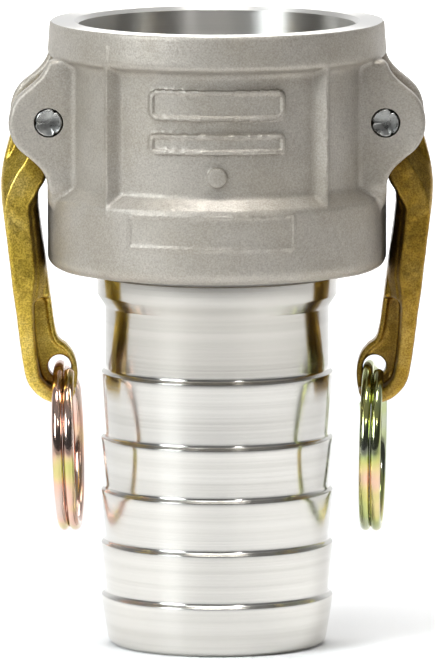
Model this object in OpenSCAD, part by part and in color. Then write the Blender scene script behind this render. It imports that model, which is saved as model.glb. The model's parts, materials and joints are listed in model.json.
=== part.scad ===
// Camlock coupling for a 2 inch hose: a female coupler cup with two cam arms,
// cast in one piece with a barbed hose shank. Millimetres. The shank's open end
// stands on z = 0, the flow axis is +Z and the cup opens upwards. The arms lie
// at +X and -X and their pivot pins run along Y.

/* [Cup] */
// Height from the shank's open end to the mouth of the cup
total_h = 144.5; // [140:0.5:150]
// Inside radius of the mouth, which takes the adapter
bore_r = 31.95; // [31.8:0.05:32.1]
// Depth of the mouth's guiding land, above the relieved part of the bore
land_depth = 12.6; // [12:0.1:13]
// Depth of the relief round the cam windows, on the radius
relief = 0.4; // [0.3:0.1:0.6]
// Outside radius of the rim at its lower edge
rim_r = 39.1; // [38.8:0.1:39.4]
// Height of the rim band
rim_h = 8.2; // [7:0.1:9]
// Outside radius of the cup between the rim and the collar
waist_r = 36; // [35.6:0.1:36.4]
// Outside radius of the collar round the gasket
collar_r = 39; // [38.6:0.1:39.2]
// Height of the underside of the cup
cup_bottom_z = 87.5; // [87:0.1:88.5]
// Height of the top edge of the collar
collar_top_z = 104.4; // [103.8:0.1:105]

/* [Shank] */
// Radius of the flow bore
flow_r = 22.25; // [21.8:0.05:22.6]
// Radius of the barb crests
crest_r = 26.75; // [26.5:0.05:27]
// Radius at the foot of each barb
root_r = 25.7; // [25.5:0.05:25.9]
// Height of the lowest barb crest
barb_first_z = 11.6; // [11:0.1:12.2]
// Distance from one barb crest to the next
barb_pitch = 12.2; // [12:0.1:12.4]
// Height of the crest under the plain stretch
land_z = 63.4; // [62.8:0.1:64]
// Radius of the machined collar under the cup
neck_r = 27.7; // [27.4:0.1:28]

/* [Panels] */
// Half the width of the framed panel on each face
panel_half_w = 25.4; // [25:0.1:26]
// Width of the sloped side wall of the panel
panel_wall_w = 3.7; // [3.2:0.1:4.2]
// Height of the raised plates in the panel
plate_h = 0.8; // [0.5:0.1:1.1]

/* [Ears and pins] */
// Distance of each pivot pin from the flow axis
pin_x = 38.6; // [38.4:0.1:38.8]
// Height of the pivot pins
pin_z = 122.4; // [122:0.1:122.8]
// Radius of a pivot pin
pin_r = 3.175; // [3.1:0.025:3.2]
// Gap between the two ears of a pair
ear_gap = 19.6; // [19.4:0.1:20]
// Thickness of one ear
ear_t = 5.5; // [5:0.1:6]
// Radius of the ear round the pin
ear_r = 9.2; // [8.8:0.1:9.4]

/* [Cam arms] */
// Width of the arm's hub, cam and outer flange
arm_w = 19; // [18.6:0.1:19.2]
// Width of the arm's inner web
web_w = 10; // [8:0.5:12]
// Width of the eye that holds the pull ring
eye_w = 5; // [4.4:0.2:5.4]
// Thickness of the outer flange
flange_t = 3.2; // [2.6:0.1:3.4]
// Width of the outer flange at the tip of the arm
tip_w = 15; // [14:0.5:16]
// Running clearance between arm and pin, on the radius
pin_play = 0.05; // [0.02:0.01:0.08]
// Reach of the cam from the pin towards the flow axis
cam_reach = 10.9; // [10.5:0.1:11]
// Radius of the hub round the pin
hub_r = 6.4; // [6.2:0.1:6.4]

/* [Pull rings] */
// Radius of a pull ring to the middle of its wire
ring_r = 18.5; // [18.3:0.1:18.7]
// Diameter of the ring's wire
wire_d = 2.4; // [2.3:0.05:2.4]
// Radius of the hole in the arm that holds the ring
eye_hole_r = 2.65; // [2.6:0.05:2.7]
// Angle that each ring is turned about the vertical in its hole
ring_yaw = 3; // [2:0.5:3]

/* [Gasket] */
// Outside radius of the gasket
gasket_r = 33.35; // [33.2:0.05:33.4]
// Inside radius of the gasket
gasket_bore_r = 25.4; // [25:0.1:26]
// Thickness of the gasket
gasket_t = 6.35; // [6:0.05:6.5]

/* [Hidden] */
$fn = 96;
// A little past a face, so that cuts go right through
eps = 0.5;

// Cup
rim_z = total_h - rim_h;
rim_top_r = rim_r - 0.6;
mouth_chamfer = 0.8;
edge_round = 1.2;
collar_round = 3.2;
waist_z = collar_top_z + collar_r - waist_r;
seat_z = cup_bottom_z + 5.9;
groove_r = gasket_r + 0.1;
groove_h = gasket_t + 0.3;

// Shank
end_chamfer = 1.7;
end_r = root_r - 0.4;
neck_z = cup_bottom_z - 6.5;
shank_r = root_r + 0.1;
barb_count = 4;
barb_edge = 0.5;

// Ears and the windows that the cams pass through
ear_y = ear_gap / 2;
window_top_z = pin_z + 8.8;
window_bottom_z = pin_z - 12;
window_in = bore_r - 8;
relief_bottom_z = window_bottom_z - 2;
relief_top_z = total_h - land_depth;
pin_len = ear_gap + 2 * ear_t;
pin_groove_r = 0.42;
hole_chamfer = 0.25;

// Cam, a second round beside the hub, a little below the pin
cam_r = 5.2;
cam_drop = 1;
cam_x = cam_reach - cam_r;

// Flange's taper starts at this height from the pin and ends at the tip
taper_top_z = -36;
taper_end_z = -66;

// Hole for the pull ring, measured from the pin, and how far below its middle the
// wire passes
eye_x = -2.3;
eye_z = -57.8;
ring_drop = 0.2;
// Distance from the middle of a ring to each of its two turns, which just touch
wire_gap = wire_d / 2 - 0.05;
// Half the opening left in a ring's second turn, which stops short of the eye
turn_gap = 5.2;
// Angle that each ring leans to the side as it hangs
right_lean = 1;
left_lean = -2;

// Raised plates in the panel: half width, height of the middle, half height
plate_a = [15.4, 128.6, 3.4];
plate_b = [15.4, 119.6, 2];
stud_z = 111.8;
stud_r = 2.1;

// Outer edge of a cam arm from the hub to its tip, as [x, z] from the pin
arm_outer = [[6, 3], [8.2, -2], [9.7, -7], [10.8, -12.4], [11.1, -17.4], [9.8, -27.4],
             [8.8, -36], [7.7, -44.4], [6.2, -55.9], [5, -61.2], [2.4, -64.4], [-1, -65.9]];
// Inner edge of a cam arm from its tip back to the hub
arm_inner = [[-3.4, -66.4], [-5.2, -65.4], [-6.1, -62.5], [-6.2, -59], [-5.4, -55.6], [-3.9, -52.7],
             [-1.5, -50.4], [-0.2, -41.4], [1.1, -33], [2.9, -18.4], [1.6, -14.6], [-0.6, -9], [-3, -4]];

// Points along an arc, from angle a0 to angle a1
function arc(x, y, r, a0, a1, n = 6) =
    [for (i = [0:n]) let (a = a0 + (a1 - a0) * i / n) [x + r * cos(a), y + r * sin(a)]];

// One barb: a long taper up to the crest and a steep shoulder above it
function barb(z, foot_z) =
    [[root_r, foot_z], [crest_r, z - barb_edge], [crest_r - barb_edge / 2, z], [root_r, z + barb_edge]];

// Direction from an outline's points towards the inside of the arm
function inward(p, i) =
    let (d = p[min(i + 1, len(p) - 1)] - p[max(i - 1, 0)]) [d[1], -d[0]] / norm(d);

// Outline of the shank's outside, from its open end up to the underside of the cup
function shank_outline() = concat(
    [[end_r - end_chamfer / 2, 0], [end_r, end_chamfer], [crest_r, barb_first_z - barb_edge],
     [crest_r - barb_edge / 2, barb_first_z], [root_r, barb_first_z + barb_edge]],
    [for (i = [1:barb_count - 1], p = barb(barb_first_z + i * barb_pitch,
                                          barb_first_z + (i - 1) * barb_pitch + 3 * barb_edge)) p],
    barb(land_z, barb_first_z + (barb_count - 1) * barb_pitch + 3 * barb_edge),
    [[shank_r, land_z + 2 * barb_edge], [shank_r, neck_z - 2], [neck_r, neck_z],
     [neck_r, cup_bottom_z]]);

// Outline of the cup's outside, from its underside up to the mouth
function cup_outline() = concat(
    arc(collar_r - collar_round, cup_bottom_z + collar_round, collar_round, -90, 0),
    [[collar_r, collar_top_z], [waist_r, waist_z], [waist_r, rim_z]],
    [[rim_r - edge_round, rim_z - 0.1]],
    arc(rim_r - edge_round, rim_z + edge_round, edge_round, -90, 0, 4),
    arc(rim_top_r - edge_round, total_h - edge_round, edge_round, 0, 90, 4));

// Solid of revolution of the whole casting, before its bores are cut
module casting_round() {
    rotate_extrude()
        polygon(concat([[0, 0]], shank_outline(), cup_outline(), [[0, total_h]]));
}

// Flow bore, gasket seat, adapter bore with its relief, and the mouth's chamfer
module bores() {
    translate([0, 0, -eps])
        cylinder(r = flow_r, h = total_h);
    translate([0, 0, seat_z])
        cylinder(r = groove_r, h = groove_h);
    translate([0, 0, seat_z])
        cylinder(r = bore_r, h = total_h);
    translate([0, 0, relief_bottom_z])
        cylinder(r = bore_r + relief, h = relief_top_z - relief_bottom_z);
    translate([0, 0, total_h - mouth_chamfer])
        cylinder(r1 = bore_r, r2 = bore_r + mouth_chamfer + eps, h = mouth_chamfer + eps);
}

// One ear on the +X, +Y side, with its flat faces across Y
module ear() {
    translate([0, ear_y + ear_t, 0])
        rotate([90, 0, 0])
            linear_extrude(height = ear_t)
                union() {
                    translate([pin_x, pin_z])
                        circle(r = ear_r);
                    polygon([[window_in + 8.6, collar_top_z + 1], [38.4, collar_top_z + 3.5], [38.8, 109.6],
                             [40.3, 112.2], [43.3, 114.2], [pin_x + 1, pin_z], [44.9, 129.1],
                             [41.2, 132.4], [39, rim_z + 1], [window_in + 8.6, rim_z + 1]]);
                }
}

// One rib along the side of a panel, on the +X, -Y side, with a sloped inner face
module panel_rib() {
    foot_x = panel_half_w - panel_wall_w;
    translate([0, 0, collar_top_z - 0.5])
        linear_extrude(height = rim_z - collar_top_z + 1)
            polygon([[foot_x, -sqrt(pow(waist_r, 2) - pow(foot_x, 2)) + 0.3],
                     [panel_half_w, -sqrt(pow(collar_r, 2) - pow(panel_half_w, 2)) + 0.2],
                     [panel_half_w, -20], [foot_x, -20]]);
}

// Plain raised plates and a stud on the floor of the front panel
module panel_plates() {
    intersection() {
        translate([0, 0, collar_top_z])
            cylinder(r = waist_r + plate_h, h = rim_z - collar_top_z);
        rotate([90, 0, 0])
            linear_extrude(height = waist_r + 2)
                union() {
                    for (p = [plate_a, plate_b]) {
                        translate([0, p[1]])
                            square([2 * (p[0] - p[2]), 2 * p[2]], center = true);
                        for (s = [-1, 1])
                            translate([s * (p[0] - p[2]), p[1]])
                                circle(r = p[2]);
                    }
                    translate([0, stud_z])
                        circle(r = stud_r);
                }
    }
}

module coupler_body() {
    color("darkgray")
    difference() {
        union() {
            casting_round();
            for (side = [0, 1], face = [0, 1])
                mirror([side, 0, 0])
                    mirror([0, face, 0]) {
                        ear();
                        panel_rib();
                    }
            panel_plates();
        }
        bores();
        for (side = [0, 1])
            mirror([side, 0, 0]) {
                translate([window_in, -ear_y, window_bottom_z])
                    cube([pin_x, ear_gap, window_top_z - window_bottom_z]);
                translate([pin_x, pin_len / 2 + eps, pin_z])
                    rotate([90, 0, 0])
                        cylinder(r = pin_r, h = pin_len + 2 * eps);
                for (face = [0, 1])
                    mirror([0, face, 0])
                        translate([pin_x, pin_len / 2 + eps, pin_z])
                            rotate([90, 0, 0])
                                cylinder(r1 = pin_r + hole_chamfer + eps, r2 = pin_r,
                                         h = hole_chamfer + eps);
            }
    }
}

module gasket() {
    r = 0.9;
    color("#202022")
    translate([0, 0, seat_z])
        rotate_extrude()
            polygon(concat(arc(gasket_r - r, r, r, -90, 0, 4), arc(gasket_r - r, gasket_t - r, r, 0, 90, 4),
                           arc(gasket_bore_r + r, gasket_t - r, r, 90, 180, 4),
                           arc(gasket_bore_r + r, r, r, 180, 270, 4)));
}

// A side outline, extruded to the width w and centred on y = 0
module slab(w) {
    translate([0, w / 2, 0])
        rotate([90, 0, 0])
            linear_extrude(height = w)
                children();
}

// Width of the outer flange down its length, seen along X
module flange_taper() {
    translate([-arm_w, 0, 0])
        rotate([90, 0, 90])
            linear_extrude(height = 2 * arm_w)
                polygon([[-arm_w / 2, arm_w], [-arm_w / 2, taper_top_z], [-tip_w / 2, taper_end_z],
                         [-tip_w / 2, taper_end_z - 5], [tip_w / 2, taper_end_z - 5], [tip_w / 2, taper_end_z],
                         [arm_w / 2, taper_top_z], [arm_w / 2, arm_w]]);
}

// Cam arm on the +X side, with its pin axis on the origin
module arm_shape() {
    n = len(arm_outer);
    difference() {
        union() {
            slab(arm_w) {
                circle(r = hub_r);
                translate([-cam_x, -cam_drop])
                    circle(r = cam_r);
                polygon([[0, 5.2], [-cam_x, cam_r - cam_drop - 0.2], [-cam_x, -cam_r - cam_drop + 0.2],
                         [-0.6, -9], [1.6, -14.6], [2.9, -18.4], [9, -18.4], [9.7, -7], [8.2, -2], [4.4, 4.2]]);
            }
            intersection() {
                slab(arm_w)
                    polygon(concat(arm_outer, [for (i = [n - 1:-1:2]) arm_outer[i] + flange_t * inward(arm_outer, i)]));
                flange_taper();
            }
            slab(web_w)
                polygon(concat([for (i = [3:8]) arm_outer[i] + 0.5 * inward(arm_outer, i)],
                               [for (i = [6:11]) arm_inner[i]], [[2, -12]]));
            slab(eye_w)
                polygon(concat([for (i = [8:n - 1]) arm_outer[i] + 0.5 * inward(arm_outer, i)],
                               [for (i = [0:6]) arm_inner[i]]));
        }
        slab(arm_w + 2 * eps)
            circle(r = pin_r + pin_play);
        translate([eye_x, 0, eye_z])
            slab(arm_w)
                circle(r = eye_hole_r);
    }
}

module right_cam_arm() {
    color("goldenrod")
    translate([pin_x, 0, pin_z])
        arm_shape();
}

module left_cam_arm() {
    color("goldenrod")
    mirror([1, 0, 0])
        translate([pin_x, 0, pin_z])
            arm_shape();
}

// Grooved pin on the +X side, flush with the outer faces of the ears
module pin_shape() {
    translate([pin_x, 0, pin_z])
        slab(pin_len)
            difference() {
                circle(r = pin_r);
                for (a = [90, 210, 330])
                    rotate(a)
                        translate([pin_r + pin_groove_r / 2, 0])
                            circle(r = pin_groove_r, $fn = 24);
            }
}

module right_pivot_pin() {
    color("silver") pin_shape();
}

module left_pivot_pin() {
    color("silver") mirror([1, 0, 0]) pin_shape();
}

// One turn of a pull ring, at the distance side from the ring's middle
module ring_turn(side) {
    translate([side, 0, 0])
        rotate([0, 90, 0])
            rotate_extrude()
                translate([ring_r, 0])
                    circle(r = wire_d / 2, $fn = 32);
}

// Split ring hung from the hole at hole_x. One turn passes through the hole. The
// other lies on its +X side and stops short of the eye. The middle of the ring is
// shift away from the hole, and the ring leans by the angle lean
module ring_shape(hole_x, shift, lean) {
    translate([hole_x, 0, pin_z + eye_z])
        rotate([0, lean, 0])
            translate([shift, 0, -ring_drop - ring_r])
                rotate([0, 0, -ring_yaw])
                    union() {
                        ring_turn(-wire_gap);
                        difference() {
                            ring_turn(wire_gap);
                            translate([-wire_d, -turn_gap, 0])
                                cube([4 * wire_d, 2 * turn_gap, 2 * ring_r]);
                        }
                    }
}

module right_pull_ring() {
    color("khaki") ring_shape(pin_x + eye_x, 0, right_lean);
}

module left_pull_ring() {
    color("khaki") ring_shape(-pin_x - eye_x, wire_gap, left_lean);
}

coupler_body();
gasket();
left_cam_arm();
right_cam_arm();
left_pivot_pin();
right_pivot_pin();
left_pull_ring();
right_pull_ring();
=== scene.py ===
"""Looks of the camlock coupling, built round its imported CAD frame.

The cast skin of the cup and the two arms are rounded solids, meshed from distance
functions. The turned shank, the bores, the pins, the gasket and the rings are swept
or revolved. Lengths in the distance functions and profiles are millimetres in the
CAD's frame. The finished meshes are in metres.
"""

import json
import math

import bpy
import numpy as np
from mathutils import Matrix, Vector


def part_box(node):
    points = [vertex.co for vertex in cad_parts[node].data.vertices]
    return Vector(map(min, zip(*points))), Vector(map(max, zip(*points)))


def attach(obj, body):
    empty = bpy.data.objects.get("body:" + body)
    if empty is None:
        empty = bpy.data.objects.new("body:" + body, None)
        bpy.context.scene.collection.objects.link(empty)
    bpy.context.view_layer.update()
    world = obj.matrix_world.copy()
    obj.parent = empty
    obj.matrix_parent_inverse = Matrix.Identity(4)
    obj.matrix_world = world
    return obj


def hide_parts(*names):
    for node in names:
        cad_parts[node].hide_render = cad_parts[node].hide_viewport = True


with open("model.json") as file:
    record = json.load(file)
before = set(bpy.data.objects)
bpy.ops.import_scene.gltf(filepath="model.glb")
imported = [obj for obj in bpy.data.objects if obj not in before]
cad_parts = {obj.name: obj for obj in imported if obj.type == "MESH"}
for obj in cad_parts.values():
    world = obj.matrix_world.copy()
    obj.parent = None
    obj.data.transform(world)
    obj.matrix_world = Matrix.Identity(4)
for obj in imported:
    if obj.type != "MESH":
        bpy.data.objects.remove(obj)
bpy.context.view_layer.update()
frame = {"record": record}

MM = 0.001


def node_box(node):
    """Lowest and highest corners of a CAD node, in millimetres."""
    low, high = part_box(node)
    return np.array(low) / MM, np.array(high) / MM


_, body_high = node_box("coupler_body")
pin_low, pin_high = node_box("right_pivot_pin")
gasket_low, gasket_high = node_box("gasket")
mounts = {m["name"]: m for m in frame["record"]["mounts"]}

# Cup, from its mouth down to the collar round the gasket
TOP = body_high[2]
RIM_R = body_high[1]
RIM_H = 8.2
RIM_DRAFT = 0.075
FACING_STOCK = 0.35
WAIST_R = 36.0
COLLAR_R = 39.0
COLLAR_TOP = 104.4
CUP_BOTTOM = 87.5
NECK_BOTTOM = 86.4
NECK_R = 27.7

# Inside of the cup. OVERCUT is how far the bores' cutter reaches past the casting.
OVERCUT = 5
BORE_R = mounts["coupler_bore"]["dims"]["r_mm"]
BORE_RELIEF = 0.4
RELIEF_DOWN = 12.6
MOUTH_CHAMFER = 0.9
SEAT_PLAY_R = 0.1
SEAT_PLAY_H = 0.3
GASKET_BORE_R = 25.4
GASKET_EDGE_R = 0.9

# Framed panel on each face. On the front one stand two plates, given as height of the
# middle, half width, half height and corner radius, and a stud.
PANEL_HALF_W = 25.4
PANEL_WALL_W = 3.7
PLATES = ((128.6, 15.6, 3.5, 2.2), (119.7, 15.6, 2.3, 1.6))
PLATE_H = 1.1
PLATE_SUNK = 0.5
PLATE_BORDER = 1.0
STUD_Z = 112.1
STUD_R = 2.3

# Empty outline on the front of the collar
MARK_X, MARK_Z = -1.2, 99.6
MARK_HALF_W, MARK_HALF_H = 18.8, 3.7
MARK_H = 0.3

# Ears, pins and the windows for the cams
PIN_X, _, PIN_Z = (pin_low + pin_high) / 2
PIN_R = (pin_high[2] - pin_low[2]) / 2
PIN_LEN = pin_high[1] - pin_low[1]
EAR_T = 5.5
EAR_OUT = PIN_LEN / 2
EAR_R = 9.2
EAR_ROOT_X = 38.9
EAR_ROOT_HALF_W = 6
EAR_RUN_OUT_DEG = 45
HOLE_GAP = 0.22
WINDOW_LOW = PIN_Z - 12
WINDOW_HIGH = PIN_Z + 8.8
WINDOW_FROM_X = 22

# Shank
FLOW_R = 22.25
FLOW_CHAMFER = 0.8
CREST_R = 26.75
ROOT_R = 25.7
NOSE_IN, NOSE_R, NOSE_H = 0.4, 2.0, 2.2
BARB_FIRST = 11.6
BARB_PITCH = 12.2
BARB_COUNT = 4
COVE_R, COVE_H = 0.75, 0.8
LAND_BARB = 63.4
LAND_STEP = 0.1
CHAMFER_LOW = 78.6
CHAMFER_HIGH = 81.4
UNDERCUT = 0.7

# Arms, measured from the pin
ARM_W = 19.0
TIP_W = 15.0
TAPER_FROM, TAPER_TO = 36, 66
WEB_W = 10.0
HUB_R = 6.4
CAM_R = 5.2
CAM_AT = (-5.7, -1.0)
PIN_PLAY = 0.05
WEB_STEP = 1.7
WEB_STEP_W = 1.5
WEB_SLOPE = 1.7
BEVEL_SLOPE = 1.2
SIDE_LEAN = math.sqrt(1.4)
POCKET_TOP = -41.6
EYE_PLATE_W = 5.0
EYE_AT = (-2.3, -57.8)
EYE_HOLE_R = 2.65
ARM_LOW = (-CAM_R - 7, -ARM_W / 2, -67.2)
ARM_HIGH = (12, ARM_W / 2, HUB_R + 0.5)

# Pins: the groove's depth and its half width in degrees
GROOVE_DEPTH = 0.42
GROOVE_HALF_W = 7.0

# Rings. TURN_GAP is from the middle plane to the wire's lane. The wire's places are
# degrees from the top of the ring, counted on through both turns.
RING_R = 18.5
WIRE_R = 1.22
TURN_GAP = 1.24
WIRE_START, WIRE_END = 17, 656
LANE_CHANGE = (306, 346)
SPRUNG_FROM = 600
SPRUNG_BY = 1.5
RING_DROP = 0.2
RING_YAW = 3.0
LEFT_LEAN, RIGHT_LEAN = -2.0, 1.0

# Mesh fineness
CASTING_CELL = 0.57
ARM_CELL = 0.42
SIDES = 256
PIN_SIDES = 144
HOLE_SIDES = 96
WIRE_SIDES = 24
WIRE_STATIONS = 330


# ---------------------------------------------------------------- distance functions

def fuse(a, b, r):
    """Union of two solids, with a fillet of radius r where they meet."""
    near = np.hypot(np.maximum(r - a, 0), np.maximum(r - b, 0))
    return np.maximum(r, np.minimum(a, b)) - near


def common(a, b, r):
    """Intersection of two solids, with its outer edge rounded to radius r."""
    return -fuse(-a, -b, r)


def cut(a, b, r):
    """Solid a without solid b, with the new edge rounded to radius r."""
    return common(a, -b, r)


def between(v, low, high):
    """Slab between two planes."""
    return np.abs(v - (low + high) / 2) - (high - low) / 2


def ease(v, low, high):
    """0 below low, 1 above high and a smooth rise between them."""
    t = np.clip((v - low) / (high - low), 0, 1)
    return t * t * (3 - 2 * t)


def box2(u, v, half_u, half_v, r):
    """Rectangle with rounded corners, centred on the origin."""
    du = np.abs(u) - half_u + r
    dv = np.abs(v) - half_v + r
    return np.hypot(np.maximum(du, 0), np.maximum(dv, 0)) + np.minimum(np.maximum(du, dv), 0) - r


def outline(u, v, points):
    """Signed distance to a closed outline through points."""
    nearest = np.full(np.broadcast(u, v).shape, np.inf)
    inside = np.zeros(nearest.shape, bool)
    for (au, av), (bu, bv) in zip(points, np.roll(points, -1, axis=0)):
        eu, ev = bu - au, bv - av
        t = np.clip(((u - au) * eu + (v - av) * ev) / (eu * eu + ev * ev), 0, 1)
        nearest = np.minimum(nearest, (u - au - t * eu) ** 2 + (v - av - t * ev) ** 2)
        if ev:
            inside ^= ((av > v) != (bv > v)) & (u < eu * (v - av) / ev + au)
    distance = np.sqrt(nearest)
    return np.where(inside, -distance, distance)


def curve_through(points, steps=6):
    """A smooth line through points (Catmull-Rom)."""
    p = np.array([points[0], *points, points[-1]], float)
    out = []
    for a, b, c, d in zip(p, p[1:], p[2:], p[3:]):
        for t in np.arange(steps) / steps:
            square = (2 * a - 5 * b + 4 * c - d) * t ** 2
            cube = (3 * b - a - 3 * c + d) * t ** 3
            out.append(0.5 * (2 * b + (c - a) * t + square + cube))
    return np.array([*out, points[-1]])


def waviness(x, y, z, size, depth):
    """Slow unevenness of a sand casting."""
    s = 2 * math.pi / size
    along_x = np.sin(s * x + 1.3 * np.sin(0.7 * s * z))
    along_z = np.sin(s * z + np.sin(s * x))
    return depth * along_x * np.sin(s * y + 0.4) * along_z


# ---------------------------------------------------------------- mesh making

def surface_of(distance, low, high, cell):
    """Points and four-sided faces of the surface where distance is zero (a surface net). Each
    cell that the surface crosses gets one point, at the mean of the crossings on its edges."""
    axes = [np.arange(a - 2.5 * cell, b + 3 * cell, cell) for a, b in zip(low, high)]
    x, y, z = np.meshgrid(*axes, indexing="ij", sparse=True)
    field = np.broadcast_to(distance(x, y, z), [len(a) for a in axes])
    inside = field < 0
    corners = [(i, j, k) for i in (0, 1) for j in (0, 1) for k in (0, 1)]
    shape = [n - 1 for n in field.shape]
    count = sum(inside[i:i + shape[0], j:j + shape[1], k:k + shape[2]].astype(np.int8)
                for i, j, k in corners)
    at = np.argwhere((count > 0) & (count < 8))
    index = np.full(shape, -1)
    index[tuple(at.T)] = np.arange(len(at))

    total = np.zeros((len(at), 3))
    found = np.zeros((len(at), 1))
    for a in corners:
        for axis in range(3):
            if a[axis]:
                continue
            b = np.array(a)
            b[axis] = 1
            va = field[tuple((at + a).T)]
            vb = field[tuple((at + b).T)]
            hit = (va < 0) != (vb < 0)
            t = va / np.where(hit, va - vb, 1)
            place = np.array(a) + t[:, None] * (b - np.array(a))
            total += np.where(hit[:, None], place, 0)
            found += hit[:, None]
    points = np.array([a[0] for a in axes]) + (at + total / found) * cell

    quads = []
    for axis in range(3):
        first = [slice(None)] * 3
        second = [slice(None)] * 3
        first[axis] = slice(0, -1)
        second[axis] = slice(1, None)
        p = np.argwhere(inside[tuple(first)] != inside[tuple(second)])
        b = np.eye(3, dtype=int)[(axis + 1) % 3]
        c = np.eye(3, dtype=int)[(axis + 2) % 3]
        quad = np.stack([index[tuple((p - s).T)] for s in (0 * b, b, b + c, c)], axis=1)
        quads.append(np.where(inside[tuple(p.T)][:, None], quad, quad[:, ::-1]))
    return settle(points, distance, cell), np.concatenate(quads)


def settle(points, distance, cell, rounds=3):
    """Moves points along the slope of the distance function until they lie on its surface."""
    h = 0.05 * cell
    for _ in range(rounds):
        x, y, z = points.T
        here = distance(x, y, z)
        slope = np.stack([
            distance(x + h, y, z) - distance(x - h, y, z),
            distance(x, y + h, z) - distance(x, y - h, z),
            distance(x, y, z + h) - distance(x, y, z - h)], axis=1) / (2 * h)
        length = np.maximum((slope ** 2).sum(1), 0.2)
        step = np.clip(here / length, -0.5 * cell, 0.5 * cell)
        points = points - step[:, None] * slope
    return points


def piece(name, points, faces, materials, slot=0):
    """A mesh object from points in millimetres. slot is the material of all its faces."""
    mesh = bpy.data.meshes.new(name)
    if isinstance(faces, np.ndarray):
        faces = faces.tolist()
    mesh.from_pydata((np.asarray(points) * MM).tolist(), [], faces)
    for m in materials:
        mesh.materials.append(m)
    mesh.polygons.foreach_set("material_index", np.full(len(mesh.polygons), slot))
    mesh.shade_smooth()
    mesh.update()
    obj = bpy.data.objects.new(name, mesh)
    bpy.context.scene.collection.objects.link(obj)
    return obj


def joined_rings(rings, closed):
    """Faces between rings of points that all have the same count. Open ends get a flat cap."""
    n = len(rings[0])
    m = len(rings)
    faces = []
    for i in range(m if closed else m - 1):
        j = (i + 1) % m
        for k in range(n):
            l = (k + 1) % n
            faces.append((i * n + k, i * n + l, j * n + l, j * n + k))
    if not closed:
        faces.append(tuple(range(n))[::-1])
        faces.append(tuple((m - 1) * n + k for k in range(n)))
    return faces


def full_turn(sides):
    """Angles of one turn, in radians."""
    return 2 * math.pi * np.arange(sides) / sides


def arc(middle_r, middle_z, half_w, half_h, start, end, steps=7):
    """Points of an elliptic arc in a (radius, height) profile, between two angles in degrees."""
    return [(middle_r + half_w * math.cos(a), middle_z + half_h * math.sin(a))
            for a in np.radians(np.linspace(start, end, steps))]


def revolved(name, profile, materials):
    """Solid of revolution about Z of a closed (radius, height) profile that runs anticlockwise."""
    rings = [[(r * math.cos(t), r * math.sin(t), z) for r, z in profile] for t in full_turn(SIDES)]
    faces = [face[::-1] for face in joined_rings(rings, True)]
    return piece(name, np.concatenate(rings), faces, materials)


def lathe(name, profile, materials, slot):
    """Solid of revolution about Z of a (radius, height) line, from its foot on the axis up to
    its top on the axis."""
    rings = [[(r * math.cos(t), r * math.sin(t), z) for t in full_turn(SIDES)] for r, z in profile]
    return piece(name, np.concatenate(rings), joined_rings(rings, False), materials, slot)


def boolean(obj, other, operation):
    """Joins or cuts obj with other, then deletes other."""
    mod = obj.modifiers.new(operation, "BOOLEAN")
    mod.operation = operation
    mod.solver = "MANIFOLD"
    mod.object = other
    graph = bpy.context.evaluated_depsgraph_get()
    shape = bpy.data.meshes.new_from_object(obj.evaluated_get(graph))
    obj.modifiers.remove(mod)
    old = obj.data
    obj.data = shape
    bpy.data.meshes.remove(old)
    bpy.data.meshes.remove(other.data)


def crisp(obj, degrees):
    """Smooth shading, with the edges sharper than this angle kept crisp."""
    obj.data.shade_smooth()
    obj.data.set_sharp_from_angle(angle=math.radians(degrees))


# ---------------------------------------------------------------- materials

def new_material(name):
    """An empty node material: its tree, its shader and the surface's own coordinates in metres."""
    mat = bpy.data.materials.new(name)
    mat.use_nodes = True
    tree = mat.node_tree
    shader = tree.nodes["Principled BSDF"]
    coords = tree.nodes.new("ShaderNodeTexCoord").outputs["Object"]
    return mat, tree, shader, coords


def noise(tree, coords, scale, detail=3.0, roughness=0.55, stretch=(1, 1, 1)):
    """Noise of a given scale in 1/m. stretch scales the coordinates, axis by axis."""
    if stretch != (1, 1, 1):
        mapping = tree.nodes.new("ShaderNodeMapping")
        mapping.inputs["Scale"].default_value = stretch
        tree.links.new(coords, mapping.inputs["Vector"])
        coords = mapping.outputs["Vector"]
    node = tree.nodes.new("ShaderNodeTexNoise")
    node.inputs["Scale"].default_value = scale
    node.inputs["Detail"].default_value = detail
    node.inputs["Roughness"].default_value = roughness
    tree.links.new(coords, node.inputs["Vector"])
    return node.outputs["Fac"]


def ramp(tree, value, stops):
    """Colour ramp from (position, colour) stops."""
    node = tree.nodes.new("ShaderNodeValToRGB")
    elements = node.color_ramp.elements
    while len(elements) < len(stops):
        elements.new(0.5)
    for element, (position, colour) in zip(elements, stops):
        element.position = position
        element.color = (*colour, 1)
    tree.links.new(value, node.inputs["Fac"])
    return node.outputs["Color"]


def span(tree, value, low, high, to_low, to_high):
    """Maps a value from one range to another."""
    node = tree.nodes.new("ShaderNodeMapRange")
    limits = {"From Min": low, "From Max": high, "To Min": to_low, "To Max": to_high}
    for key, number in limits.items():
        node.inputs[key].default_value = number
    tree.links.new(value, node.inputs["Value"])
    return node.outputs["Result"]


def tint(tree, colour, other, amount, mode="MULTIPLY"):
    """Mixes a colour with another, which is a constant or a socket, by the value amount."""
    node = tree.nodes.new("ShaderNodeMix")
    node.data_type = "RGBA"
    node.blend_type = mode
    tree.links.new(amount, node.inputs[0])
    tree.links.new(colour, node.inputs[6])
    if isinstance(other, tuple):
        node.inputs[7].default_value = (*other, 1)
    else:
        tree.links.new(other, node.inputs[7])
    return node.outputs[2]


def along(tree, coords, axis, low, high, to_low, to_high):
    """A value that runs from to_low to to_high between two places on an axis."""
    parts = tree.nodes.new("ShaderNodeSeparateXYZ")
    tree.links.new(coords, parts.inputs["Vector"])
    return span(tree, parts.outputs[axis], low, high, to_low, to_high)


def added(tree, a, b):
    """Sum of two values."""
    node = tree.nodes.new("ShaderNodeMath")
    tree.links.new(a, node.inputs[0])
    tree.links.new(b, node.inputs[1])
    return node.outputs[0]


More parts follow.
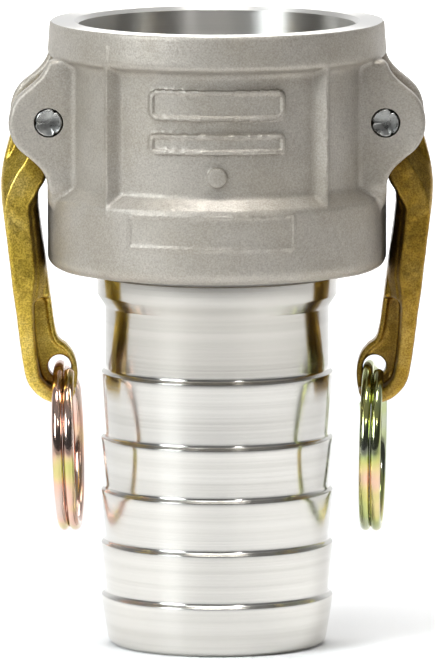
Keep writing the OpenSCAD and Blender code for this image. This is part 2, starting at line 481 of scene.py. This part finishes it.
def bump(tree, height, depth, strength=1.0, below=None):
    """Bump of a given depth in metres, on top of another bump if one is given."""
    node = tree.nodes.new("ShaderNodeBump")
    node.inputs["Distance"].default_value = depth
    node.inputs["Strength"].default_value = strength
    tree.links.new(height, node.inputs["Height"])
    if below is not None:
        tree.links.new(below, node.inputs["Normal"])
    return node.outputs["Normal"]


def ambient_occlusion(tree, reach):
    """Ambient occlusion, for painted shade: 1 in the open, falling to 0 in corners within the given
    reach in metres.
    """
    node = tree.nodes.new("ShaderNodeAmbientOcclusion")
    node.samples = 6
    node.inputs["Distance"].default_value = reach
    return node.outputs["AO"]


def cast_aluminium():
    """Sand-cast aluminium: matte and fine-grained, with painted shade that darkens it in its
    corners.
    """
    mat, tree, shader, coords = new_material("cast_aluminium")
    grain = noise(tree, coords, 2400, detail=4, roughness=0.7)
    pits = noise(tree, coords, 700, detail=3)
    clouds = noise(tree, coords, 60, detail=3)
    colour = ramp(tree, grain, [(0.32, (0.34, 0.31, 0.27)), (0.68, (0.52, 0.48, 0.42))])
    colour = tint(tree, colour, (0.90, 0.885, 0.85), span(tree, clouds, 0.42, 0.62, 0, 1))
    # Painted shade: darker grey in corners and crevices, from ambient occlusion.
    corners = span(tree, ambient_occlusion(tree, 0.006), 0.85, 0.3, 0, 1)
    colour = tint(tree, colour, (0.40, 0.38, 0.34), corners)
    tree.links.new(colour, shader.inputs["Base Color"])
    tree.links.new(span(tree, pits, 0.3, 0.7, 0.40, 0.56), shader.inputs["Roughness"])
    shader.inputs["Metallic"].default_value = 0.5
    normal = bump(tree, pits, 0.00010)
    tree.links.new(bump(tree, grain, 0.00005, below=normal), shader.inputs["Normal"])
    return mat


def turned_aluminium(name, dull, bright, smooth, rough):
    """Turned aluminium, with fine lines round the axis that draw highlights out upwards. Above the
    barbs it is painted darker: painted shade under the collar. dull and bright are colours, smooth
    and rough are roughnesses."""
    mat, tree, shader, coords = new_material(name)
    lines = noise(tree, coords, 10, detail=5, roughness=0.8, stretch=(0.3, 0.3, 160))
    bands = noise(tree, coords, 8, detail=3, stretch=(0.4, 0.4, 40))
    colour = ramp(tree, bands, [(0.35, dull), (0.65, bright)])
    # Painted shade: the colour is darkened above the barbs, under the collar.
    shade_above_barbs = along(tree, coords, "Z", LAND_BARB * MM, (LAND_BARB + 2) * MM, 0, 1)
    colour = tint(tree, colour, (0.78, 0.77, 0.755), shade_above_barbs)
    tree.links.new(colour, shader.inputs["Base Color"])
    tree.links.new(span(tree, lines, 0.35, 0.65, smooth, rough), shader.inputs["Roughness"])
    shader.inputs["Metallic"].default_value = 1.0
    shader.inputs["Anisotropic"].default_value = 0.9
    shader.inputs["Anisotropic Rotation"].default_value = 0.25
    tangent = tree.nodes.new("ShaderNodeTangent")
    tangent.direction_type = "RADIAL"
    tangent.axis = "Z"
    tree.links.new(tangent.outputs["Tangent"], shader.inputs["Tangent"])
    tree.links.new(bump(tree, lines, 0.000008, 0.6), shader.inputs["Normal"])
    return mat


def gilt_casting():
    """Cast arm in yellow metal with a sandy skin. Painted shade makes it browner in its corners and
    crevices, and darker and browner towards the right.
    """
    mat, tree, shader, coords = new_material("gilt_casting")
    grain = noise(tree, coords, 2600, detail=2, roughness=0.5)
    ripples = noise(tree, coords, 1300, detail=2)
    clouds = noise(tree, coords, 130, detail=3)
    colour = ramp(tree, clouds, [(0.35, (0.66, 0.47, 0.06)), (0.5, (0.78, 0.56, 0.09)),
                                 (0.65, (0.90, 0.69, 0.18))])
    colour = tint(tree, colour, (0.60, 0.55, 0.45), span(tree, grain, 0.62, 0.38, 0, 1))
    # Painted shade: the right-hand arm is darkened and browned.
    colour = tint(tree, colour, (0.53, 0.45, 0.32), along(tree, coords, "X", -0.04, 0.04, 0, 1))
    # Painted shade: darker brown in corners and crevices, from ambient occlusion.
    corners = span(tree, ambient_occlusion(tree, 0.009), 0.8, 0.3, 0, 1)
    colour = tint(tree, colour, (0.30, 0.22, 0.11), corners)
    tree.links.new(colour, shader.inputs["Base Color"])
    tree.links.new(span(tree, ripples, 0.3, 0.7, 0.30, 0.44), shader.inputs["Roughness"])
    shader.inputs["Metallic"].default_value = 1.0
    shader.inputs["Coat Weight"].default_value = 0.3
    shader.inputs["Coat Roughness"].default_value = 0.2
    normal = bump(tree, noise(tree, coords, 500, detail=1), 0.00008)
    tree.links.new(bump(tree, ripples, 0.00003, below=normal), shader.inputs["Normal"])
    return mat


def passivated_wire():
    """Bright plated wire whose film shifts from pink on the left to green on the right."""
    mat, tree, shader, coords = new_material("passivated_wire")
    film = noise(tree, coords, 60, detail=2)
    scuffs = noise(tree, coords, 1800, detail=3)
    film = added(tree, film, along(tree, coords, "X", -0.03, 0.03, -0.10, 0.14))
    colour = ramp(tree, film, [
        (0.32, (0.64, 0.51, 0.45)), (0.42, (0.74, 0.47, 0.37)), (0.50, (0.68, 0.54, 0.27)),
        (0.58, (0.54, 0.52, 0.18)), (0.66, (0.42, 0.47, 0.19)), (0.76, (0.46, 0.48, 0.40))])
    tree.links.new(colour, shader.inputs["Base Color"])
    tree.links.new(span(tree, scuffs, 0.3, 0.7, 0.07, 0.16), shader.inputs["Roughness"])
    shader.inputs["Metallic"].default_value = 1.0
    tree.links.new(bump(tree, scuffs, 0.00001, 0.4), shader.inputs["Normal"])
    return mat


def drawn_steel():
    """Drawn stainless wire, cut to length."""
    mat, tree, shader, coords = new_material("drawn_steel")
    drag = noise(tree, coords, 1400, detail=3, stretch=(1, 0.05, 1))
    mottle = noise(tree, coords, 500, detail=3)
    colour = ramp(tree, mottle, [(0.3, (0.20, 0.20, 0.19)), (0.7, (0.42, 0.42, 0.40))])
    tree.links.new(colour, shader.inputs["Base Color"])
    tree.links.new(span(tree, mottle, 0.3, 0.7, 0.2, 0.38), shader.inputs["Roughness"])
    shader.inputs["Metallic"].default_value = 1.0
    tree.links.new(bump(tree, drag, 0.00004, 0.5), shader.inputs["Normal"])
    return mat


def nitrile():
    """Black moulded rubber with a trace of bloom."""
    mat, tree, shader, coords = new_material("nitrile")
    skin = noise(tree, coords, 2200, detail=3)
    bloom = noise(tree, coords, 140, detail=3)
    colour = ramp(tree, bloom, [(0.4, (0.014, 0.014, 0.015)), (0.75, (0.04, 0.04, 0.041))])
    tree.links.new(colour, shader.inputs["Base Color"])
    tree.links.new(span(tree, bloom, 0.35, 0.7, 0.42, 0.62), shader.inputs["Roughness"])
    tree.links.new(bump(tree, skin, 0.00003, 0.5), shader.inputs["Normal"])
    return mat


def pale_floor():
    """Matt white studio floor, painted grey in front of the object as shade where the lamps' light
    falls off.
    It glows like a lit sweep from a metre away from the middle of that grey stretch."""
    mat, tree, shader, coords = new_material("pale_floor")
    # Painted shade: the floor turns grey in front of the object.
    near = along(tree, coords, "Y", -0.65, -0.25, 0, 1)
    colour = ramp(tree, near, [(0, (0.42, 0.42, 0.42)), (1, (0.93, 0.93, 0.93))])
    tree.links.new(colour, shader.inputs["Base Color"])
    far = tree.nodes.new("ShaderNodeVectorMath")
    far.operation = "DISTANCE"
    far.inputs[1].default_value = (0, -0.8, 0)
    tree.links.new(coords, far.inputs[0])
    glow = span(tree, far.outputs["Value"], 1.0, 2.0, 0, 0.68)
    tree.links.new(glow, shader.inputs["Emission Strength"])
    shader.inputs["Emission Color"].default_value = (1, 1, 1, 1)
    shader.inputs["Roughness"].default_value = 0.9
    return mat


# Materials of the casting, and their slots
METALS = [
    cast_aluminium(),
    turned_aluminium("turned_aluminium", (0.60, 0.58, 0.54), (0.71, 0.69, 0.65), 0.14, 0.26),
    # The bores' copy is rougher, as a bored finish is, and painted much brighter than the shank's:
    # painted light inside the bore.
    turned_aluminium("bored_aluminium_painted_bright", (0.88, 0.87, 0.84), (0.98, 0.97, 0.95), 0.30, 0.42)]
CAST, TURNED, BORED = range(3)

GILT = gilt_casting()
PLATED = passivated_wire()
STEEL = drawn_steel()
RUBBER = nitrile()


# ---------------------------------------------------------------- the casting

def cup_round(rho, z):
    """Rim, waist, collar and neck of the cup, all solid. The rim stands proud of the height that
    it is faced to."""
    rim_foot = TOP - RIM_H
    rim_wall = rho - RIM_R + RIM_DRAFT * (z - rim_foot)
    rim = common(common(rim_wall, rim_foot - z, 1.7), z - TOP - FACING_STOCK, 1.1)
    waist = common(rho - WAIST_R, between(z, CUP_BOTTOM + 3, TOP - 2), 0.5)
    slope = (rho - COLLAR_R + z - COLLAR_TOP) / math.sqrt(2)
    collar = common(common(rho - COLLAR_R, CUP_BOTTOM - z, 3.2), slope, 0.45)
    neck = common(rho - NECK_R, between(z, NECK_BOTTOM, CUP_BOTTOM + 3), 0.3)
    return fuse(fuse(fuse(waist, collar, 0.5), rim, 2.2), neck, 1.1)


def ear_pair(side, face, z):
    """The ears of one side, as plates square to Y that run out into the collar."""
    lobe = np.hypot(side - PIN_X, z - PIN_Z) - EAR_R
    root_low, root_high = COLLAR_TOP - 5, TOP - RIM_H + 0.4
    root = box2(side - EAR_ROOT_X + EAR_ROOT_HALF_W, z - (root_low + root_high) / 2,
                EAR_ROOT_HALF_W, (root_high - root_low) / 2, 1.5)
    plate = common(fuse(lobe, root, 5.5), between(face, EAR_OUT - EAR_T, EAR_OUT), 1.1)
    lean = math.radians(EAR_RUN_OUT_DEG)
    run_out = (face - EAR_OUT) * math.cos(lean) + (COLLAR_TOP + 2.5 - z) * math.sin(lean)
    return common(plate, run_out, 1.5)


def panel_walls(side, face, z):
    """Ribs at the sides of a panel, with a sloped inner face and a steep outer one."""
    foot = PANEL_HALF_W - PANEL_WALL_W
    foot_face = math.sqrt(WAIST_R ** 2 - foot ** 2) - 0.3
    crest_face = math.sqrt(COLLAR_R ** 2 - PANEL_HALF_W ** 2) + 0.1
    rise = math.atan2(crest_face - foot_face, PANEL_WALL_W)
    slope = (face - crest_face) * math.cos(rise) - (side - PANEL_HALF_W) * math.sin(rise)
    wedge = common(side - PANEL_HALF_W, slope, 0.4)
    return common(wedge, between(z, COLLAR_TOP - 2, TOP - 3), 0.5)


def raised_plates(x, y, z, rho):
    """Blank plates with a border, and a plain stud, on the front panel."""
    plates = [box2(x, z - middle, half_w, half_h, r) for middle, half_w, half_h, r in PLATES]
    plate = np.minimum(*plates)
    height = PLATE_H - PLATE_SUNK * ease(-plate, PLATE_BORDER - 0.25, PLATE_BORDER + 0.25)
    stud = np.hypot(x, z - STUD_Z) - STUD_R
    plate = common(np.maximum(plate, y), rho - WAIST_R - height, 0.3)
    return np.minimum(plate, common(np.maximum(stud, y), rho - WAIST_R - PLATE_H, 0.5))


def raised_outline(x, y, z):
    """Height of the outline on the front of the collar."""
    to_line = np.abs(box2(x - MARK_X, z - MARK_Z, MARK_HALF_W, MARK_HALF_H, 0.6))
    return MARK_H * (1 - ease(to_line, 0.05, 0.6)) * (y < 0)


def cast_skin(x, y, z):
    """The whole casting as it leaves the mould, before it is bored and turned."""
    rho = np.hypot(x, y)
    side, face = np.abs(x), np.abs(y)
    body = cup_round(rho, z)
    body = fuse(body, panel_walls(side, face, z), 0.6)
    body = fuse(body, ear_pair(side, face, z), 0.9)
    body = fuse(body, raised_plates(x, y, z, rho), 0.35) - raised_outline(x, y, z)
    gap = EAR_OUT - EAR_T
    window = common(between(face, -gap, gap), between(z, WINDOW_LOW, WINDOW_HIGH), 1.5)
    body = cut(body, np.maximum(window, WINDOW_FROM_X - side), 0.6)
    slow, quick = waviness(x, y, z, size=23, depth=0.07), waviness(z, x, y, size=9, depth=0.03)
    return body + slow + quick


def shank_profile():
    """Outside of the shank, from the axis at its open end up into the cup."""
    line = [(0, 0), *arc(ROOT_R - NOSE_IN - NOSE_R, NOSE_H, NOSE_R, NOSE_H, -90, 0)]
    crests = [BARB_FIRST + i * BARB_PITCH for i in range(BARB_COUNT)] + [LAND_BARB]
    for z in crests:
        line += [(CREST_R - 0.12, z - 1.2), (CREST_R, z - 0.35), (CREST_R - 0.06, z - 0.1),
                 (CREST_R - 0.3, z + 0.08)]
        line += arc(ROOT_R + COVE_R, z + 0.15 + COVE_H, COVE_R, COVE_H, -90, -180)[1:]
        line.append((ROOT_R, z + 1.5))
    land_r = ROOT_R + LAND_STEP
    undercut_r = NECK_R - UNDERCUT
    line += [(land_r, LAND_BARB + 2), (land_r, CHAMFER_LOW - 0.1),
             (land_r + 0.1, CHAMFER_LOW + 0.1), (NECK_R - 0.15, CHAMFER_HIGH - 0.15),
             (NECK_R, CHAMFER_HIGH + 0.2),
             (NECK_R, NECK_BOTTOM - 0.65), (NECK_R - 0.2, NECK_BOTTOM - 0.45),
             (undercut_r, NECK_BOTTOM - 0.4), (undercut_r, NECK_BOTTOM + 1), (0, NECK_BOTTOM + 1)]
    return line


def bore_profile():
    """The space inside: flow way, gasket seat, adapter bore with its relief, the mouth's chamfer,
    and the cut that faces the top of the rim. It starts and ends well outside the casting."""
    below, above = -OVERCUT, TOP + OVERCUT
    seat = gasket_low[2]
    seat_r = gasket_high[0] + SEAT_PLAY_R
    seat_top = gasket_high[2] + SEAT_PLAY_H
    relief_low, relief_high = WINDOW_LOW - 2, TOP - RELIEF_DOWN
    relief_r = BORE_R + BORE_RELIEF
    return [(0, below), (FLOW_R + FLOW_CHAMFER + OVERCUT, below), (FLOW_R, FLOW_CHAMFER),
            (FLOW_R, seat), (seat_r, seat), (seat_r, seat_top), (BORE_R, seat_top),
            (BORE_R, relief_low), (relief_r, relief_low + BORE_RELIEF),
            (relief_r, relief_high - BORE_RELIEF), (BORE_R, relief_high),
            (BORE_R, TOP - MOUTH_CHAMFER), (BORE_R + MOUTH_CHAMFER, TOP),
            (RIM_R + 2, TOP), (RIM_R + 2, above), (0, above)]


def pin_hole(sign):
    """Cutter for the hole through a pair of ears, with a thin gap round the pin."""
    r = PIN_R + HOLE_GAP
    rings = [[(sign * PIN_X + r * math.sin(t), y, PIN_Z + r * math.cos(t))
              for t in full_turn(HOLE_SIDES)] for y in (-EAR_OUT - 1, EAR_OUT + 1)]
    return piece("pin_hole", np.concatenate(rings), joined_rings(rings, False), METALS, CAST)


def make_casting():
    """Cup, ears and shank in one: the cast skin, joined by the shank and then machined."""
    low = [-PIN_X - EAR_R - 0.6, -COLLAR_R - 1, NECK_BOTTOM - 0.5]
    high = [PIN_X + EAR_R + 0.6, COLLAR_R + 1, TOP + 0.5]
    skin = surface_of(cast_skin, low, high, CASTING_CELL)
    casting = piece("coupler_casting", *skin, METALS, CAST)
    boolean(casting, lathe("shank", shank_profile(), METALS, TURNED), "UNION")
    boolean(casting, lathe("bores", bore_profile(), METALS, BORED), "DIFFERENCE")
    for sign in (-1, 1):
        boolean(casting, pin_hole(sign), "DIFFERENCE")
    crisp(casting, 32)
    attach(casting, "body")
    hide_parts("coupler_body")


# ---------------------------------------------------------------- arms

# Side view of the arm on the +X side, as (out, up) from its pin. The silhouette closes inside
# the hub. RECESS is where the sides step down to the web, and BEVEL where they slope back
# beside the hub. Both run on past the arm.
OUTER = curve_through([
    (5, 3.6), (8, -1.6), (9.8, -7), (10.9, -12.4), (11.0, -17.4), (9.8, -27.4),
    (8.8, -36), (7.7, -44.4), (6.2, -55.9), (5.0, -61.0), (2.3, -64.3), (-0.8, -65.8)])
INNER = curve_through([
    (-3.2, -66.2), (-5.1, -65.0), (-6.2, -62.4), (-6.4, -58.6), (-5.6, -55.2), (-3.9, -52.9),
    (-1.6, -50.4), (-0.2, -41.4), (0.9, -33), (2.6, -18.6), (0.8, -13.6), (-2.4, -5.5)])
SILHOUETTE = np.concatenate([OUTER, INNER, [(0, 3)]])
RECESS_EDGE = curve_through([
    (1.8, -14.6), (3.6, -17.2), (5.1, -20), (5.0, -23.5), (4.3, -30), (3.8, -36),
    (4.4, -42), (4.1, -50), (3.3, -57), (2.2, -60.8), (-0.8, -63.0), (-4.4, -63.4)])
RECESS = np.concatenate([RECESS_EDGE, [(-9, -63.4), (-9, -14.6)]])
BEVEL_EDGE = curve_through([
    (2.4, -3.5), (5.2, -9.4), (7.1, -12.3), (8.7, -15.4), (9.8, -19), (10.6, -24)])
BEVEL = np.concatenate([BEVEL_EDGE, [(15, -24), (15, 6), (2.4, 6)]])


def half_width(u, w, in_recess):
    """Half the width of the arm at each place of its side view: full on the flange and shoulder,
    sloping back over the bevel by the hub and down the sides of the web."""
    in_bevel = np.maximum(-outline(u, w, BEVEL), 0)
    flange = (ARM_W - (ARM_W - TIP_W) * ease(-w, TAPER_FROM, TAPER_TO)) / 2
    step = WEB_STEP * ease(in_recess, 0.1, WEB_STEP_W)
    slope = WEB_SLOPE * np.maximum(in_recess - WEB_STEP_W, 0)
    return np.maximum(flange - BEVEL_SLOPE * in_bevel - (step + slope), WEB_W / 2)


def arm_solid(u, y, w):
    """Cam arm on the +X side, measured from its pin. Below POCKET_TOP both sides are hollowed
    out in two steps, down to the plate with the eye. SIDE_LEAN makes the distance to the
    sides truer where they slope."""
    half = np.abs(y)
    side_view = outline(u, w, SILHOUETTE)
    in_recess = np.maximum(-outline(u, w, RECESS), 0)
    reach = half_width(u, w, in_recess)
    blade = common(side_view, (half - reach) / SIDE_LEAN, 0.9)
    ledge = common(0.9 - in_recess, w - POCKET_TOP, 1.8)
    blade = cut(blade, common(ledge, EYE_PLATE_W / 2 + 0.2 - half, 0.9), 0.7)
    pocket = common(ledge, side_view + 1.1, 1.2)
    blade = cut(blade, common(pocket, EYE_PLATE_W / 2 - 0.2 - half, 0.6), 0.4)
    hub = np.hypot(u, w) - HUB_R
    cam = np.hypot(u - CAM_AT[0], w - CAM_AT[1]) - CAM_R
    head = common(fuse(hub, cam, 3.0), half - ARM_W / 2, 0.6)
    solid = fuse(blade, head, 1.0)
    solid = cut(solid, np.hypot(u, w) - PIN_R - PIN_PLAY, 0.25)
    solid = cut(solid, np.hypot(u - EYE_AT[0], w - EYE_AT[1]) - EYE_HOLE_R, 0.35)
    slow, quick = waviness(u, y, w, size=11, depth=0.05), waviness(w, u, y, size=4.1, depth=0.03)
    return solid + slow + quick


def make_arm(name, body, node, sign):
    """Cam arm, mirrored for the -X side. ARM_LOW and ARM_HIGH are the box that it is meshed in."""
    points, faces = surface_of(arm_solid, ARM_LOW, ARM_HIGH, ARM_CELL)
    points = points * [sign, 1, 1] + [sign * PIN_X, 0, PIN_Z]
    arm = piece(name, points, faces[:, ::sign], [GILT])
    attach(arm, body)
    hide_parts(node)


# ---------------------------------------------------------------- pins, gasket and rings

def make_pin(name, node, sign):
    """Grooved pin: three swaged grooves along it, and cut ends that are a little hollow. Each
    station along it is a place and the share of the section there."""
    turns = full_turn(PIN_SIDES)
    to_groove = np.abs((np.degrees(turns) + 30) % 120 - 60)
    section = PIN_R - GROOVE_DEPTH * np.exp(-(to_groove / GROOVE_HALF_W) ** 2)
    end = PIN_LEN / 2
    half = [(end - 0.55, 0.12), (end - 0.42, 0.45), (end - 0.12, 0.8), (end, 0.9),
            (end - 0.1, 0.96), (end - 0.3, 1)]
    stations = [(-y, share) for y, share in half] + [(y, share) for y, share in reversed(half)]
    rings = [[(sign * PIN_X + share * r * math.sin(t), y, PIN_Z + share * r * math.cos(t))
              for r, t in zip(section, turns)] for y, share in stations]
    pin = piece(name, np.concatenate(rings), joined_rings(rings, False), [STEEL])
    crisp(pin, 40)
    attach(pin, "body")
    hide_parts(node)


def make_gasket():
    """Flat gasket with rounded corners."""
    r = GASKET_EDGE_R
    inner, outer = GASKET_BORE_R + r, gasket_high[0] - r
    low, high = gasket_low[2] + r, gasket_high[2] - r
    corners = ((outer, low, -90), (outer, high, 0), (inner, high, 90), (inner, low, 180))
    profile = [point for x, z, start in corners for point in arc(x, z, r, r, start, start + 90)]
    gasket = revolved("gasket_ring", profile, [RUBBER])
    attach(gasket, "body")
    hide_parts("gasket")


def turned(points, degrees, axis):
    """Points turned about one of the axes through the origin."""
    a, b = [i for i in range(3) if i != axis]
    c, s = math.cos(math.radians(degrees)), math.sin(math.radians(degrees))
    out = np.array(points)
    out[:, a] = points[:, a] * c - points[:, b] * s
    out[:, b] = points[:, b] * c + points[:, a] * s
    return out


def wire_line(turn):
    """Middle line of a ring's wire. Angles are degrees from the top, over the front. The wire
    changes lanes before it passes through the eye again, and ends a little sprung."""
    lane = TURN_GAP * (1 - 2 * ease(turn, *LANE_CHANGE))
    lane = lane - SPRUNG_BY * ease(turn, SPRUNG_FROM, WIRE_END)
    angle = np.radians(turn)
    return np.stack([lane, -RING_R * np.sin(angle), RING_R * np.cos(angle)], axis=-1)


def unit(vectors):
    """Vectors scaled to length 1."""
    return vectors / np.linalg.norm(vectors, axis=1)[:, None]


def wire_rings(line, radii, sides):
    """Circles of points round a line about the X axis, each with its own radius."""
    forward = unit(np.gradient(line, axis=0))
    out = line * [0, 1, 1]
    out = unit(out - (out * forward).sum(1)[:, None] * forward)
    beside = np.cross(forward, out)
    around = full_turn(sides)
    return [p + r * (np.cos(around)[:, None] * o + np.sin(around)[:, None] * b)
            for p, o, b, r in zip(line, out, beside, radii)]


def make_ring(name, body, node, sign, shift, lean):
    """Split ring of two turns of round wire with rounded ends. One turn passes through the eye.
    shift moves that turn into the eye's middle, and lean tips the ring about Y."""
    line = wire_line(np.linspace(WIRE_START, WIRE_END, WIRE_STATIONS))
    from_end = np.minimum(np.arange(len(line)), np.arange(len(line))[::-1])
    rings = wire_rings(line, WIRE_R * np.sqrt(np.clip(0.35 + from_end / 1.6, 0, 1)), WIRE_SIDES)
    points = turned(np.concatenate(rings), -RING_YAW, 2) + [shift, 0, -RING_DROP - RING_R]
    points = turned(points, -lean, 1) + [sign * (PIN_X + EYE_AT[0]), 0, PIN_Z + EYE_AT[1]]
    ring = piece(name, points, joined_rings(rings, False), [PLATED])
    crisp(ring, 50)
    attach(ring, body)
    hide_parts(node)


make_casting()
make_gasket()
for label, sign, shift, lean in (("left", -1, TURN_GAP, LEFT_LEAN), ("right", 1, 0, RIGHT_LEAN)):
    make_arm(label + "_arm_casting", label + "_arm", label + "_cam_arm", sign)
    make_pin(label + "_grooved_pin", label + "_pivot_pin", sign)
    make_ring(label + "_split_ring", label + "_ring", label + "_pull_ring", sign, shift, lean)


# ---------------------------------------------------------------- studio

def make_floor():
    """One wide square at the object's foot."""
    half = 30.0
    corners = [(-half, -half, 0), (half, -half, 0), (half, half, 0), (-half, half, 0)]
    mesh = bpy.data.meshes.new("floor")
    mesh.from_pydata(corners, [], [(0, 1, 2, 3)])
    mesh.materials.append(pale_floor())
    floor = bpy.data.objects.new("floor", mesh)
    bpy.context.scene.collection.objects.link(floor)


def softbox(name, place, target, width, height, watts, spread=180, colour=(1, 1, 1)):
    """Area light that faces its target. A narrow spread, in degrees, makes a soft-edged pool."""
    data = bpy.data.lights.new(name, "AREA")
    data.shape = "RECTANGLE"
    data.size, data.size_y = width, height
    data.energy = watts
    data.spread = math.radians(spread)
    data.color = colour
    light = bpy.data.objects.new(name, data)
    light.location = place
    light.rotation_euler = (Vector(target) - Vector(place)).to_track_quat("-Z", "Y").to_euler()
    bpy.context.scene.collection.objects.link(light)


def make_sky():
    """Dim sky, with a bright wall low behind the object. Below the horizon it is as white as the
    floor, for views that see past the floor."""
    world = bpy.data.worlds.new("studio")
    world.use_nodes = True
    tree = world.node_tree
    direction = tree.nodes.new("ShaderNodeTexCoord").outputs["Generated"]
    sky = ramp(tree, along(tree, direction, "Z", -0.1, 1, 0, 1), [
        (0.075, (0.97, 0.97, 0.97)), (0.088, (0.06, 0.06, 0.063)), (0.46, (0.065, 0.067, 0.07)),
        (0.62, (0.27, 0.275, 0.28)), (1.0, (0.29, 0.295, 0.30))])
    low = along(tree, direction, "Z", 0.3, 0.6, 1, 0)
    wall = ramp(tree, low, [(0, (0, 0, 0)), (1, (0.86, 0.87, 0.88))])
    behind = along(tree, direction, "Y", 0.1, 0.8, 0, 1)
    colour = tint(tree, sky, wall, behind, "ADD")
    tree.links.new(colour, tree.nodes["Background"].inputs["Color"])
    bpy.context.scene.world = world


def make_light():
    """A small key for the highlights, a cool soft light from the left, a pool on the floor in
    front, and two large lights that keep the floor behind the object white."""
    middle = (0, 0, TOP * MM / 2)
    softbox("key", (0.46, -0.98, 0.85), middle, 0.12, 0.12, 1.6)
    softbox("left", (-1.0, -0.85, 0.72), middle, 0.6, 0.6, 1.3, spread=45, colour=(0.90, 0.96, 1.0))
    softbox("pool", (0, -0.2, 0.95), (0, -0.1, 0), 0.7, 0.2, 0.55, spread=42)
    softbox("top", (0, 0.9, 1.4), (0, 0.5, 0), 1.2, 0.9, 9.5)
    softbox("back", (0, 1.9, 1.5), (0, 1.2, 0), 1.6, 0.8, 18.0)


def make_camera():
    """Long lens from a little above, which frames the object as the photo does."""
    elevation = math.radians(7.2)
    distance = 3.0
    target = Vector((0.1 * MM, 0, 72.8 * MM))
    frame_height = 152.0 * MM
    data = bpy.data.cameras.new("camera")
    data.sensor_fit = "VERTICAL"
    data.sensor_height = 24.0
    data.lens = 24.0 * distance / frame_height
    camera = bpy.data.objects.new("camera", data)
    camera.location = target + distance * Vector((0, -math.cos(elevation), math.sin(elevation)))
    camera.rotation_euler = (target - camera.location).to_track_quat("-Z", "Y").to_euler()
    bpy.context.scene.collection.objects.link(camera)
    bpy.context.scene.camera = camera


make_floor()
make_sky()
make_light()
make_camera()
bpy.context.scene.view_settings.view_transform = "Standard"
